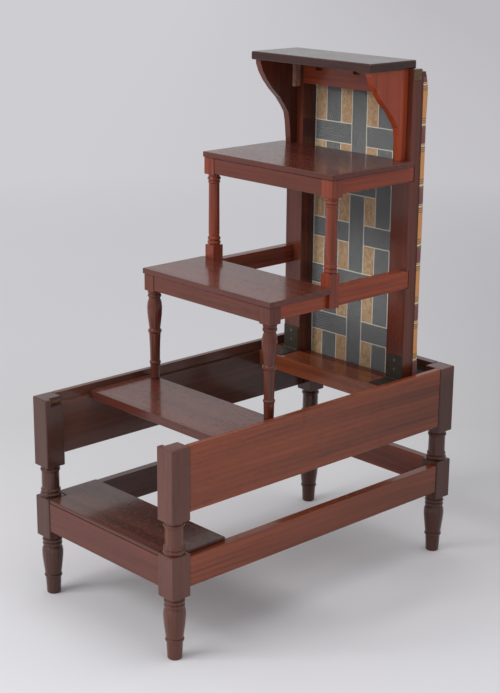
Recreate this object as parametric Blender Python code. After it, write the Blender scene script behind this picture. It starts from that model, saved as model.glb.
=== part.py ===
"""Library stool that opens into four steps, in metres, +Z up, front facing -Y.

The base is a long stool: four posts, deep side rails, low stretchers and the first tread.
The seat frame stands up at the back on two hinges and carries treads 3, 4 and 5 on its front face.
It folds forward through a quarter turn, and the cushion on its back is then the seat.
Tread 2 is a loose board that drops into rebates in the side rails and is lifted out before the fold.
"""

import math

import bmesh
import bpy

# Clearance between pieces that touch, and the extra length of every cutter.
GAP = 0.0003
OVERRUN = 0.004

# Base
BASE_WIDTH = 0.450
BASE_LENGTH = 0.8276
BASE_HEIGHT = 0.4450
POST_SIDE = 0.0460
POST_UPPER_BLOCK = 0.1514
POST_NECK = 0.0691
POST_LOWER_BLOCK = 0.0905
ARRIS = 0.0016

RAIL_RISE = 0.0005
RAIL_HEIGHT = 0.1355
RAIL_RECESS = 0.0020
RAIL_THICKNESS = 0.0190
REBATE_DEPTH = 0.0220
REBATE_WIDTH = 0.0060

STRETCHER_DROP = 0.0080
STRETCHER_HEIGHT = 0.0635
STRETCHER_THICKNESS = 0.0200

TREAD_1_THICKNESS = 0.0080
TREAD_1_BACK_FROM_FRONT = 0.1498
TREAD_1_FRONT_RECESS = 0.0023
TREAD_1_END_RECESS = 0.0140

# Hinge line: where the seat frame's front face meets the top of the hinge rail.
HINGE_FROM_BACK = 0.1336
HINGE_DROP = 0.0180
HINGE_OFFSET = 0.0018
HINGE_RAIL_DEPTH = 0.0627
HINGE_RAIL_HEIGHT = 0.0362
LEAF_WIDTH = 0.0460
LEAF_LENGTH = 0.0550
LEAF_THICKNESS = 0.0012
LEAF_FROM_STILE_EDGE = 0.0002
KNUCKLE_RADIUS = 0.0032
KNUCKLE_LENGTH = 0.0150
PIN_RADIUS = 0.0012
SCREW_HEAD_RADIUS = 0.0031
SCREW_SHANK_RADIUS = 0.0014
SCREW_LENGTH = 0.0140
SCREW_HEIGHTS = (0.0220, 0.0440)

# Seat frame
FRAME_SIDE_ROOM = 0.0190
STILE_WIDTH = 0.0490
FRAME_THICKNESS = 0.0280
FRAME_SHORT_OF_FRONT = 0.0150
FRAME_BELOW_HINGE = 0.0350
TOP_RAIL_HEIGHT = 0.0564
BOTTOM_RAIL_HEIGHT = 0.0310
POCKET_WIDTH = 0.0210
POCKET_HEIGHT = 0.0240
POCKET_DEPTH = 0.0070
POCKET_PLACE_SHARES = (-0.6588, 0.1783)

# Pad: its own frame, webbing and cushion
PAD_FRAME_THICKNESS = 0.0115
PAD_RAIL_WIDTH = 0.0490
PAD_BOTTOM_RAIL_WIDTH = 0.0220
PAD_TOP_DROP = 0.0060
PAD_BOTTOM_RAISE = 0.0020
WEBBING_THICKNESS = 0.0020
WEBBING_INSET = 0.0094
CUSHION_EDGE = 0.0190
CUSHION_CROWN = 0.0160
CUSHION_CORNER = 0.0140
CUSHION_PULL_IN = 0.0030
CUSHION_OVERHANG = -0.0010

# Treads of the step unit
BOARD_THICKNESS = 0.0120
EDGE_OVERHANG = 0.0025
BLOCK_SIDE = 0.0310
BLOCK_DROP = 0.0030
APRON_THICKNESS = 0.0180
APRON_RECESS = 0.0012
STEP_RAIL_THICKNESS = 0.0220
STEP_RAIL_RECESS = 0.0005
STEP_RAIL_RAISE = 0.0010
LAP_DEPTH_SHARE = 0.2700
LAP_3_SHARE = 0.3400
LAP_4_SHARE = 0.5300

TREAD_2_LIP = 0.0097
TREAD_2_THICKNESS = 0.0185
TREAD_2_FRONT = 0.1353
TREAD_2_DEPTH = 0.1675
TREAD_2_END_CLEARANCE = 0.0005

STEP_3_RISE = 0.2472
TREAD_3_SIDE_ROOM = 0.0060
TREAD_3_FRONT = 0.2770
TREAD_3_DEPTH = 0.1770
APRON_3_DROP = 0.0457
RAIL_3_REAR_DROP = 0.0049

STEP_4_RISE = 0.2341
TREAD_4_SIDE_ROOM = 0.0070
TREAD_4_FRONT = 0.4484
APRON_4_DROP = 0.0463
FOOT_BLOCK_SIDE = 0.0280
FOOT_BLOCK_RISE = 0.0273

TREAD_5_SIDE_ROOM = 0.0015
TREAD_5_REACH = 0.1232
TREAD_5_DEPTH = 0.1412
TREAD_5_THICKNESS = 0.0182

BRACKET_RECESS = 0.0055
BRACKET_THICKNESS = 0.0160
BRACKET_TOP_REACH = 0.1130
# The bracket's front edge, as (share of its reach, share of its height below the tread).
BRACKET_SHARES = (
    (1.000, 0.000), (1.000, 0.042), (0.934, 0.136), (0.814, 0.241), (0.659, 0.346), (0.469, 0.450),
    (0.327, 0.555), (0.239, 0.634), (0.204, 0.730), (0.186, 0.817), (0.159, 1.000),
)

GLUE_BLOCK_SIDE = 0.0105
# How far down the bracket's height the block runs.
GLUE_BLOCK_SHARE = 0.3353
GLUE_BLOCK_DEPTH = 0.0165

# Catch: brass keepers in notches of the front posts, and brass plates near the top of the stiles
NOTCH_DEPTH = 0.0095
NOTCH_LENGTH = 0.0327
NOTCH_ABOVE_HINGE = 0.0010
KEEPER_LENGTH = 0.0240
KEEPER_HEIGHT = 0.0060
KEEPER_THICKNESS = 0.0009
KEEPER_FROM_POST_BACK = 0.0035
KEEPER_RAISE = 0.0040
CATCH_HEIGHT = 0.0215
CATCH_WIDTH = 0.0240
CATCH_THICKNESS = 0.0007
CATCH_DROP = 0.0010

TURNED_SIDES = 16
PIN_SIDES = 12

# Turned profiles: (share of the length, share of half the square it is turned from), from the lower end.
# A bead is (start, end, radius of its fillets, radius of its crest), in the same shares.
POST_FOOT_SHARES = (
    (0.0000, 0.5870), (0.0149, 0.6522), (0.2724, 0.7261),
    ("bead", 0.2836, 0.3321, 0.7304, 0.8478),
    (0.3433, 0.7739), (0.4478, 0.8522), (0.5597, 0.9304), (0.6567, 0.9826), (0.7313, 0.9957),
    (0.7910, 0.9391),
    ("bead", 0.8284, 0.8918, 0.8174, 0.9261),
    ("bead", 0.8993, 0.9627, 0.8174, 0.9391),
    (0.9739, 0.8261), (1.0448, 0.8261),
)
POST_NECK_SHARES = (
    (-0.0796, 0.8522),
    ("bead", 0.0145, 0.1447, 0.8522, 0.9913),
    ("bead", 0.1592, 0.2533, 0.8348, 0.9348),
    (0.2822, 0.8261), (0.7887, 0.8130),
    ("bead", 0.8104, 0.9262, 0.8174, 0.9261),
    (0.9479, 0.8435), (1.0781, 0.8435),
)
LEG_3_SHARES = (
    (0.0000, 0.6323), (0.0076, 0.6774), (0.1589, 0.7226),
    ("bead", 0.1665, 0.1993, 0.7097, 0.8194),
    (0.2069, 0.6968), (0.3330, 0.7226), (0.4289, 0.7677), (0.5096, 0.8258),
    ("bead", 0.5197, 0.5626, 0.8129, 0.9742),
    (0.5701, 0.7742), (0.6408, 0.8903), (0.7215, 1.0129), (0.8022, 1.0645), (0.8628, 1.0000),
    (0.9107, 0.8129),
    ("bead", 0.9233, 0.9612, 0.8258, 0.9871),
    ("bead", 0.9662, 1.0015, 0.8258, 0.9677),
    (1.0091, 0.8516), (1.0545, 0.8516),
)
LEG_4_SHARES = (
    (-0.0317, 0.8065),
    ("bead", 0.0095, 0.0603, 0.8065, 0.9677),
    ("bead", 0.0667, 0.1175, 0.7871, 0.9419),
    (0.1270, 0.7613), (0.1651, 0.8000), (0.8635, 0.7677),
    ("bead", 0.8762, 0.9111, 0.7677, 0.8774),
    ("bead", 0.9175, 0.9683, 0.7871, 0.9613),
    (0.9778, 0.8129), (1.0476, 0.8129),
)
BEAD_STEPS = 4

# Places worked out from the sizes above
FRONT = -BASE_LENGTH / 2
BACK = BASE_LENGTH / 2
HALF_WIDTH = BASE_WIDTH / 2
POST_INNER = HALF_WIDTH - POST_SIDE
POST_UPPER_BLOCK_BOTTOM = BASE_HEIGHT - POST_UPPER_BLOCK
POST_LOWER_BLOCK_TOP = POST_UPPER_BLOCK_BOTTOM - POST_NECK
POST_LOWER_BLOCK_BOTTOM = POST_LOWER_BLOCK_TOP - POST_LOWER_BLOCK
RAIL_TOP = BASE_HEIGHT + RAIL_RISE
RAIL_BOTTOM = RAIL_TOP - RAIL_HEIGHT
RAIL_OUTER = HALF_WIDTH - RAIL_RECESS
RAIL_INNER = RAIL_OUTER - RAIL_THICKNESS
REBATE_WALL = RAIL_INNER + REBATE_WIDTH
REBATE_FLOOR = RAIL_TOP - REBATE_DEPTH
STRETCHER_TOP = POST_LOWER_BLOCK_TOP - STRETCHER_DROP
STRETCHER_BOTTOM = STRETCHER_TOP - STRETCHER_HEIGHT
TREAD_1_TOP = STRETCHER_TOP + GAP + TREAD_1_THICKNESS

HINGE_FROM_FRONT = BASE_LENGTH - HINGE_FROM_BACK
HINGE_HEIGHT = BASE_HEIGHT - HINGE_DROP
HINGE_Y = FRONT + HINGE_FROM_FRONT
HINGE_RAIL_TOP = HINGE_HEIGHT - HINGE_OFFSET
STILE_FACE = HINGE_Y + HINGE_OFFSET
STILE_BACK = STILE_FACE + FRAME_THICKNESS
FRAME_HALF_WIDTH = RAIL_INNER - FRAME_SIDE_ROOM
STILE_INNER = FRAME_HALF_WIDTH - STILE_WIDTH
FRAME_BOTTOM = HINGE_HEIGHT - FRAME_BELOW_HINGE
# Folded down, the frame reaches this far along the base, and tread 5 on its end closes the front.
FRAME_TOP = HINGE_HEIGHT + HINGE_FROM_FRONT - FRAME_SHORT_OF_FRONT

TREAD_2_TOP = REBATE_FLOOR + GAP + TREAD_2_LIP
TREAD_3_TOP = TREAD_2_TOP + STEP_3_RISE
TREAD_4_TOP = TREAD_3_TOP + STEP_4_RISE
TREAD_5_TOP = FRAME_TOP + GAP + TREAD_5_THICKNESS
TREAD_3_HALF_WIDTH = RAIL_INNER - TREAD_3_SIDE_ROOM
TREAD_4_HALF_WIDTH = RAIL_INNER - TREAD_4_SIDE_ROOM
TREAD_5_HALF_WIDTH = POST_INNER - TREAD_5_SIDE_ROOM
BRACKET_OUTER_FACE = TREAD_5_HALF_WIDTH - BRACKET_RECESS
BOARD_3_BOTTOM = TREAD_3_TOP - BOARD_THICKNESS
BOARD_4_BOTTOM = TREAD_4_TOP - BOARD_THICKNESS
APRON_3_BOTTOM = TREAD_3_TOP - APRON_3_DROP
APRON_4_BOTTOM = TREAD_4_TOP - APRON_4_DROP
RAIL_3_REAR_TOP = TREAD_3_TOP - RAIL_3_REAR_DROP
FOOT_BLOCK_TOP = TREAD_3_TOP + FOOT_BLOCK_RISE
LEG_3_X = TREAD_3_HALF_WIDTH - EDGE_OVERHANG - BLOCK_SIDE / 2
LEG_3_Y = FRONT + TREAD_3_FRONT + EDGE_OVERHANG + BLOCK_SIDE / 2
LEG_4_X = TREAD_4_HALF_WIDTH - EDGE_OVERHANG - BLOCK_SIDE / 2
LEG_4_Y = FRONT + TREAD_4_FRONT + EDGE_OVERHANG + BLOCK_SIDE / 2
SIDES = (("right", 1), ("left", -1))

for old in list(bpy.data.objects):
    bpy.data.objects.remove(old)


def material(name, colour, roughness, metallic=0.0):
    made = bpy.data.materials.new(name)
    made.use_nodes = True
    shader = made.node_tree.nodes["Principled BSDF"]
    shader.inputs["Base Color"].default_value = (*colour, 1)
    shader.inputs["Roughness"].default_value = roughness
    shader.inputs["Metallic"].default_value = metallic
    made.diffuse_color = (*colour, 1)
    return made


MAHOGANY = material("mahogany", (0.105, 0.026, 0.018), 0.34)
MAHOGANY_DARK = material("dark_mahogany", (0.050, 0.018, 0.014), 0.40)
PALE_BLOCK = material("pale_block", (0.36, 0.20, 0.17), 0.60)
BRASS = material("brass", (0.36, 0.24, 0.10), 0.42, 1.0)
IRON = material("dark_iron", (0.045, 0.050, 0.045), 0.50, 1.0)
WEB = material("webbing", (0.10, 0.11, 0.12), 0.90)
STRIPE = material("striped_cover", (0.42, 0.20, 0.06), 0.85)


def finish(name, mesh, look, smooth_angle=None):
    """Puts a bmesh into a named object with its material."""
    bmesh.ops.recalc_face_normals(mesh, faces=mesh.faces)
    data = bpy.data.meshes.new(name)
    mesh.to_mesh(data)
    mesh.free()
    made = bpy.data.objects.new(name, data)
    data.materials.append(look)
    if smooth_angle:
        data.shade_smooth()
        data.set_sharp_from_angle(angle=math.radians(smooth_angle))
    bpy.context.scene.collection.objects.link(made)
    return made


def place(made, at):
    """Moves an object that was modelled round its own origin, keeping its shape local."""
    made.location = at
    return made


def soften(made, width, segments=1):
    bevel = made.modifiers.new("arris", "BEVEL")
    bevel.width = width
    bevel.segments = segments
    bevel.limit_method = "ANGLE"
    bevel.angle_limit = math.radians(40)
    bevel.harden_normals = False
    return made


def block(name, low, high, look, arris=0.0):
    """A squared piece from its low corner to its high corner, with its origin at its centre."""
    mesh = bmesh.new()
    bmesh.ops.create_cube(mesh, size=1)
    size = [b - a for a, b in zip(low, high)]
    bmesh.ops.scale(mesh, vec=size, verts=mesh.verts)
    made = place(finish(name, mesh, look), [(a + b) / 2 for a, b in zip(low, high)])
    return soften(made, arris) if arris else made


def side_block(name, side, near, far, low, high, look, arris=0.0):
    """A squared piece on one side: near and far are from the centre plane, low and high are (y, z)."""
    xs = sorted((side * near, side * far))
    return block(name, (xs[0], *low), (xs[1], *high), look, arris)


def prism(name, outline, axis, start, end, look, arris=0.0):
    """An outline of (a, b) points carried along X, Y or Z, from start to end."""
    def point(pair, along):
        spots = {"X": (along, *pair), "Y": (pair[0], along, pair[1]), "Z": (*pair, along)}
        return spots[axis]

    mesh = bmesh.new()
    ring = [mesh.verts.new(point(pair, start)) for pair in outline]
    face = mesh.faces.new(ring)
    moved = bmesh.ops.extrude_face_region(mesh, geom=[face])
    shift = [b - a for a, b in zip(point((0, 0), start), point((0, 0), end))]
    tops = [v for v in moved["geom"] if isinstance(v, bmesh.types.BMVert)]
    bmesh.ops.translate(mesh, vec=shift, verts=tops)
    made = finish(name, mesh, look)
    return soften(made, arris) if arris else made


def cylinder(name, radius, start, end, axis, look, sides=PIN_SIDES):
    """A round bar along one axis, from the point start, to the coordinate end on that axis."""
    mesh = bmesh.new()
    index = "XYZ".index(axis)
    length = abs(end - start[index])
    bmesh.ops.create_cone(
        mesh, cap_ends=True, segments=sides, radius1=radius, radius2=radius, depth=length
    )
    made = finish(name, mesh, look, 40)
    made.rotation_euler = {"X": (0, math.pi / 2, 0), "Y": (math.pi / 2, 0, 0), "Z": (0, 0, 0)}[axis]
    middle = list(start)
    middle[index] = (start[index] + end) / 2
    return place(made, middle)


def helper(made):
    made.hide_render = True
    made.display_type = "WIRE"
    return made


def boolean(made, other, operation):
    step = made.modifiers.new(operation.lower(), "BOOLEAN")
    step.operation = operation
    step.solver = "EXACT"
    step.object = helper(other)
    return made


def cut(made, *cutters):
    for cutter in cutters:
        boolean(made, cutter, "DIFFERENCE")
    return made


def join(made, *others):
    for other in others:
        boolean(made, other, "UNION")
    return made


def profile_points(shares, length, half):
    """Gives a profile of shares its length and half width, each bead opened into a half round of chords."""
    points = []
    for item in shares:
        if item[0] != "bead":
            points.append((item[0] * length, item[1] * half))
            continue
        start, end, fillet, crest = item[1] * length, item[2] * length, item[3] * half, item[4] * half
        middle, reach = (start + end) / 2, (end - start) / 2
        for step in range(BEAD_STEPS + 1):
            turn = math.pi * step / BEAD_STEPS
            height = middle - reach * math.cos(turn)
            points.append((height, fillet + (crest - fillet) * math.sin(turn)))
    return points


def turned(name, shares, length, half, look):
    """A profile spun round Z, closed at both ends."""
    mesh = bmesh.new()
    rings = []
    for height, radius in profile_points(shares, length, half):
        ring = []
        for side in range(TURNED_SIDES):
            angle = 2 * math.pi * (side + 0.5) / TURNED_SIDES
            ring.append(mesh.verts.new((radius * math.cos(angle), radius * math.sin(angle), height)))
        rings.append(ring)
    for lower, upper in zip(rings, rings[1:]):
        for side in range(TURNED_SIDES):
            after = (side + 1) % TURNED_SIDES
            mesh.faces.new((lower[side], lower[after], upper[after], upper[side]))
    mesh.faces.new(list(reversed(rings[0])))
    mesh.faces.new(rings[-1])
    return finish(name, mesh, look, 35)


def base_posts():
    """Each post is one piece: two square blocks with a turned neck between them and a turned foot."""
    half = POST_SIDE / 2
    for end, y in (("front", FRONT + half), ("rear", BACK - half)):
        for word, side in SIDES:
            name = f"post_{end}_{word}"
            x = side * (HALF_WIDTH - half)
            post = block(
                name,
                (x - half, y - half, POST_UPPER_BLOCK_BOTTOM),
                (x + half, y + half, BASE_HEIGHT),
                MAHOGANY,
                ARRIS,
            )
            lower = block(
                name + "_lower_block",
                (x - half, y - half, POST_LOWER_BLOCK_BOTTOM),
                (x + half, y + half, POST_LOWER_BLOCK_TOP),
                MAHOGANY,
                ARRIS,
            )
            neck = turned(name + "_neck", POST_NECK_SHARES, POST_NECK, half, MAHOGANY)
            place(neck, (x, y, POST_LOWER_BLOCK_TOP))
            foot = turned(name + "_foot", POST_FOOT_SHARES, POST_LOWER_BLOCK_BOTTOM, half, MAHOGANY)
            place(foot, (x, y, 0))
            join(post, neck, lower, foot)
            if end == "front":
                cut(post, post_notch(name, side))


def post_notch(name, side):
    """The frame's stile lies in this notch when the stool is closed."""
    back = FRONT + POST_SIDE
    low = (back - NOTCH_LENGTH, HINGE_HEIGHT + NOTCH_ABOVE_HINGE)
    high = (back + OVERRUN, BASE_HEIGHT + OVERRUN)
    return side_block(
        name + "_notch", side, POST_INNER - OVERRUN, POST_INNER + NOTCH_DEPTH, low, high, MAHOGANY
    )


def base_rails():
    """Deep side rails with a rebate along the inner top edge, and the plain back rail."""
    start, end = FRONT + POST_SIDE + GAP, BACK - POST_SIDE - GAP
    for word, side in SIDES:
        outline = [
            (side * RAIL_OUTER, RAIL_BOTTOM),
            (side * RAIL_OUTER, RAIL_TOP),
            (side * REBATE_WALL, RAIL_TOP),
            (side * REBATE_WALL, REBATE_FLOOR),
            (side * RAIL_INNER, REBATE_FLOOR),
            (side * RAIL_INNER, RAIL_BOTTOM),
        ]
        prism(f"side_rail_{word}", outline, "Y", start, end, MAHOGANY, ARRIS / 2)
    across = POST_INNER - GAP
    y = BACK - RAIL_RECESS
    low = (-across, y - RAIL_THICKNESS, RAIL_BOTTOM)
    block("back_rail", low, (across, y, RAIL_TOP), MAHOGANY_DARK, ARRIS / 2)


def base_stretchers():
    start, end = FRONT + POST_SIDE + GAP, BACK - POST_SIDE - GAP
    for word, side in SIDES:
        side_block(
            f"stretcher_{word}",
            side,
            RAIL_OUTER - STRETCHER_THICKNESS,
            RAIL_OUTER,
            (start, STRETCHER_BOTTOM),
            (end, STRETCHER_TOP),
            MAHOGANY,
            ARRIS / 2,
        )
    across = POST_INNER - GAP
    for word, y in (("front", FRONT + RAIL_RECESS), ("back", BACK - RAIL_RECESS - STRETCHER_THICKNESS)):
        low = (-across, y, STRETCHER_BOTTOM)
        high = (across, y + STRETCHER_THICKNESS, STRETCHER_TOP)
        block(f"stretcher_{word}", low, high, MAHOGANY, ARRIS / 2)


def tread_1():
    """The lowest board, notched round the front posts and lying on the front and side stretchers."""
    front = FRONT + TREAD_1_FRONT_RECESS
    back = FRONT + TREAD_1_BACK_FROM_FRONT
    wide = HALF_WIDTH - TREAD_1_END_RECESS
    narrow = POST_INNER - GAP
    behind_post = FRONT + POST_SIDE + GAP
    outline = [
        (-narrow, front), (narrow, front), (narrow, behind_post), (wide, behind_post),
        (wide, back), (-wide, back), (-wide, behind_post), (-narrow, behind_post),
    ]
    prism("tread_1", outline, "Z", STRETCHER_TOP + GAP, TREAD_1_TOP, MAHOGANY, ARRIS)


def hinge_rail():
    """Cross rail under the hinges. The frame's lower end drops behind it and bears on it."""
    across = RAIL_INNER - GAP
    back = STILE_FACE - GAP
    low = (-across, back - HINGE_RAIL_DEPTH, HINGE_RAIL_TOP - HINGE_RAIL_HEIGHT)
    rail = block("hinge_rail", low, (across, back, HINGE_RAIL_TOP), MAHOGANY)
    cut(rail, *(knuckle_groove("hinge_rail", word, side) for word, side in SIDES))


def knuckle_groove(name, word, side):
    middle = hinge_middle(side)
    half = LEAF_WIDTH / 2 + OVERRUN / 8
    start = (middle - half, HINGE_Y, HINGE_HEIGHT)
    return cylinder(
        f"{name}_{word}_groove", KNUCKLE_RADIUS + 2 * GAP, start, middle + half, "X", IRON
    )


def hinge_middle(side):
    return side * (FRAME_HALF_WIDTH - LEAF_FROM_STILE_EDGE - LEAF_WIDTH / 2)


def hinges():
    """Two butt hinges: one leaf lies on the hinge rail, one on the stile's front face, with a pin through."""
    half = LEAF_WIDTH / 2
    clear = KNUCKLE_RADIUS + GAP
    for word, side in SIDES:
        middle = hinge_middle(side)
        ends = (middle - half, middle - KNUCKLE_LENGTH / 2, middle + KNUCKLE_LENGTH / 2, middle + half)
        top = HINGE_RAIL_TOP + GAP + LEAF_THICKNESS
        rail_leaf = block(
            f"rail_leaf_{word}",
            (ends[0], HINGE_Y - LEAF_LENGTH, top - LEAF_THICKNESS),
            (ends[3], HINGE_Y - clear, top),
            IRON,
        )
        for number, (a, b) in enumerate(((ends[0], ends[1] - GAP), (ends[2] + GAP, ends[3])), 1):
            tab = block(
                f"rail_tab_{word}_{number}", (a, HINGE_Y - clear - OVERRUN / 4, top - LEAF_THICKNESS),
                (b, HINGE_Y, top), IRON
            )
            knuckle = cylinder(
                f"rail_knuckle_{word}_{number}", KNUCKLE_RADIUS, (a, HINGE_Y, HINGE_HEIGHT), b, "X", IRON
            )
            join(rail_leaf, tab, knuckle)
        face = STILE_FACE - GAP
        frame_leaf = block(
            f"frame_leaf_{word}",
            (ends[0], face - LEAF_THICKNESS, HINGE_HEIGHT + clear),
            (ends[3], face, HINGE_HEIGHT + LEAF_LENGTH),
            IRON,
        )
        tab = block(
            f"frame_tab_{word}", (ends[1], face - LEAF_THICKNESS, HINGE_HEIGHT),
            (ends[2], face, HINGE_HEIGHT + clear + OVERRUN / 4), IRON
        )
        knuckle = cylinder(
            f"frame_knuckle_{word}", KNUCKLE_RADIUS, (ends[1], HINGE_Y, HINGE_HEIGHT), ends[2], "X", IRON
        )
        join(frame_leaf, tab, knuckle)
        for leaf in (rail_leaf, frame_leaf):
            start = (ends[0] - OVERRUN, HINGE_Y, HINGE_HEIGHT)
            bore = cylinder(leaf.name + "_bore", PIN_RADIUS + GAP, start, ends[3] + OVERRUN, "X", IRON)
            cut(leaf, bore)
        cylinder(f"hinge_pin_{word}", PIN_RADIUS, (ends[0], HINGE_Y, HINGE_HEIGHT), ends[3], "X", IRON)
        hinge_screws(word, middle, frame_leaf)


def hinge_screws(word, middle, leaf):
    """Two countersunk screws hold each leaf to its stile."""
    face = STILE_FACE - GAP - LEAF_THICKNESS
    for number, height in enumerate(SCREW_HEIGHTS, 1):
        spot = (middle, face, HINGE_HEIGHT + height)
        hole = cylinder(
            f"{leaf.name}_hole_{number}", SCREW_HEAD_RADIUS + GAP,
            (middle, face - OVERRUN, spot[2]), face + OVERRUN, "Y", IRON
        )
        cut(leaf, hole)
        screw = cylinder(
            f"hinge_screw_{word}_{number}", SCREW_HEAD_RADIUS, spot, face + LEAF_THICKNESS, "Y", IRON
        )
        shank = cylinder(
            f"{screw.name}_shank", SCREW_SHANK_RADIUS, (middle, face + LEAF_THICKNESS / 2, spot[2]),
            face + SCREW_LENGTH, "Y", IRON
        )
        join(screw, shank)


def stiles():
    for word, side in SIDES:
        stile = side_block(
            f"stile_{word}", side, STILE_INNER, FRAME_HALF_WIDTH,
            (STILE_FACE, FRAME_BOTTOM), (STILE_BACK, FRAME_TOP), MAHOGANY
        )
        cut(stile, knuckle_groove("stile", word, side))
        middle = hinge_middle(side)
        face = STILE_FACE - GAP - LEAF_THICKNESS
        for number, height in enumerate(SCREW_HEIGHTS, 1):
            start = (middle, STILE_FACE - OVERRUN, HINGE_HEIGHT + height)
            end = face + SCREW_LENGTH + GAP
            bore = cylinder(f"{stile.name}_bore_{number}", SCREW_SHANK_RADIUS + GAP, start, end, "Y", IRON)
            cut(stile, bore)


def lapped(rail, word, side, low, high, reach):
    """Lets a rail's end into the stile's outer side: a tongue on the rail, and a notch in the stile that clears it."""
    floor = FRAME_HALF_WIDTH - STEP_RAIL_THICKNESS * LAP_DEPTH_SHARE
    start, end, worn = STILE_FACE - OVERRUN, STILE_FACE + reach, ARRIS / 2
    notch = side_block(
        rail.name + "_notch", side, floor, FRAME_HALF_WIDTH + OVERRUN,
        (start, low), (end + GAP, high), MAHOGANY
    )
    cut(bpy.data.objects[f"stile_{word}"], notch)
    tongue = side_block(
        rail.name + "_tongue", side, floor + GAP, FRAME_HALF_WIDTH - STEP_RAIL_RECESS - worn,
        (start, low + worn), (end, high - worn), MAHOGANY
    )
    join(rail, tongue)


def frame_rails():
    across = STILE_INNER - GAP
    low = (-across, STILE_FACE, FRAME_TOP - TOP_RAIL_HEIGHT)
    top = block("frame_top_rail", low, (across, STILE_BACK, FRAME_TOP), MAHOGANY)
    for number, share in enumerate(POCKET_PLACE_SHARES, 1):
        half, x = POCKET_WIDTH / 2, across * share
        low = (x - half, STILE_FACE - OVERRUN, FRAME_TOP - POCKET_HEIGHT)
        high = (x + half, STILE_FACE + POCKET_DEPTH, FRAME_TOP + OVERRUN)
        cut(top, block(f"screw_pocket_{number}", low, high, MAHOGANY))
    block(
        "frame_bottom_rail", (-across, STILE_FACE, FRAME_BOTTOM),
        (across, STILE_BACK, FRAME_BOTTOM + BOTTOM_RAIL_HEIGHT), MAHOGANY_DARK
    )


def pad():
    """The seat pad: a thin frame behind the seat frame, webbing in its opening and a striped cushion."""
    start = STILE_BACK + GAP
    end = start + PAD_FRAME_THICKNESS
    low, high = FRAME_BOTTOM + PAD_BOTTOM_RAISE, FRAME_TOP - PAD_TOP_DROP
    inner = FRAME_HALF_WIDTH - PAD_RAIL_WIDTH
    for word, side in SIDES:
        side_block(f"pad_stile_{word}", side, inner, FRAME_HALF_WIDTH, (start, low), (end, high), MAHOGANY)
    across = inner - GAP
    block("pad_top_rail", (-across, start, high - PAD_RAIL_WIDTH), (across, end, high), MAHOGANY)
    block("pad_bottom_rail", (-across, start, low), (across, end, low + PAD_BOTTOM_RAIL_WIDTH), MAHOGANY)
    webbing_face = start + WEBBING_INSET
    block(
        "webbing", (-across, webbing_face, low + PAD_BOTTOM_RAIL_WIDTH + GAP),
        (across, webbing_face + WEBBING_THICKNESS, high - PAD_RAIL_WIDTH - GAP), WEB
    )
    cushion(end + GAP, low, high)


def cushion_outline(half_width, low, high, inset):
    """A rectangle with round corners whose sides are drawn in a little between the corners."""
    corner = max(CUSHION_CORNER - inset / 2, CUSHION_CORNER / 4)
    wide, bottom, top = half_width - inset, low + inset, high - inset
    centres = ((wide, top, 0), (-wide, top, 90), (-wide, bottom, 180), (wide, bottom, 270))
    corners = []
    for x, z, start in centres:
        cx, cz = x - math.copysign(corner, x), z - corner if z == top else z + corner
        for step in range(4):
            turn = math.radians(start + 30 * step)
            corners.append((cx + corner * math.cos(turn), cz + corner * math.sin(turn)))
    points = []
    for number, (a, b) in enumerate(zip(corners, corners[1:] + corners[:1])):
        points.append(a)
        if number % 4 != 3:
            continue
        pieces = 4 if abs(b[0] - a[0]) > abs(b[1] - a[1]) else 7
        for step in range(1, pieces):
            t = step / pieces
            draw = CUSHION_PULL_IN * math.sin(math.pi * t)
            x, z = a[0] + (b[0] - a[0]) * t, a[1] + (b[1] - a[1]) * t
            if pieces == 4:
                z -= math.copysign(draw, z - (low + high) / 2)
            else:
                x -= math.copysign(draw, x)
            points.append((x, z))
    return points


def cushion(start, low, high):
    """Rings from the flat face up the round edge and over the crown, each drawn further in than the last."""
    half_width = FRAME_HALF_WIDTH + CUSHION_OVERHANG
    low, high = low - CUSHION_OVERHANG, high + CUSHION_OVERHANG
    rings = [(CUSHION_EDGE / 4, 0.0), (0.0, CUSHION_EDGE / 3), (0.0, CUSHION_EDGE * 2 / 3)]
    rings += [(CUSHION_EDGE / 5, CUSHION_EDGE), (CUSHION_EDGE * 3 / 4, CUSHION_EDGE + CUSHION_CROWN / 4)]
    for inset_share, rise_share in ((0.25, 0.55), (0.45, 0.80), (0.70, 0.95), (0.90, 1.0)):
        rings.append((half_width * inset_share, CUSHION_EDGE + CUSHION_CROWN * rise_share))
    mesh = bmesh.new()
    loops = []
    for inset, rise in rings:
        outline = cushion_outline(half_width, low, high, inset)
        loops.append([mesh.verts.new((x, start + rise, z)) for x, z in outline])
    count = len(loops[0])
    for lower, upper in zip(loops, loops[1:]):
        for i in range(count):
            after = (i + 1) % count
            mesh.faces.new((lower[i], lower[after], upper[after], upper[i]))
    mesh.faces.new(loops[0])
    mesh.faces.new(loops[-1])
    finish("cushion", mesh, STRIPE, 50)


def tread_2():
    """A loose board. Its rebated ends hang on the floor of the rebates in the side rails."""
    tongue = REBATE_WALL - TREAD_2_END_CLEARANCE
    body = RAIL_INNER - TREAD_2_END_CLEARANCE
    bottom, shoulder = TREAD_2_TOP - TREAD_2_THICKNESS, REBATE_FLOOR + GAP
    outline = [
        (-body, bottom), (body, bottom), (body, shoulder), (tongue, shoulder),
        (tongue, TREAD_2_TOP), (-tongue, TREAD_2_TOP), (-tongue, shoulder), (-body, shoulder),
    ]
    start = FRONT + TREAD_2_FRONT
    prism("tread_2", outline, "Y", start, start + TREAD_2_DEPTH, MAHOGANY, ARRIS / 2)


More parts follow.
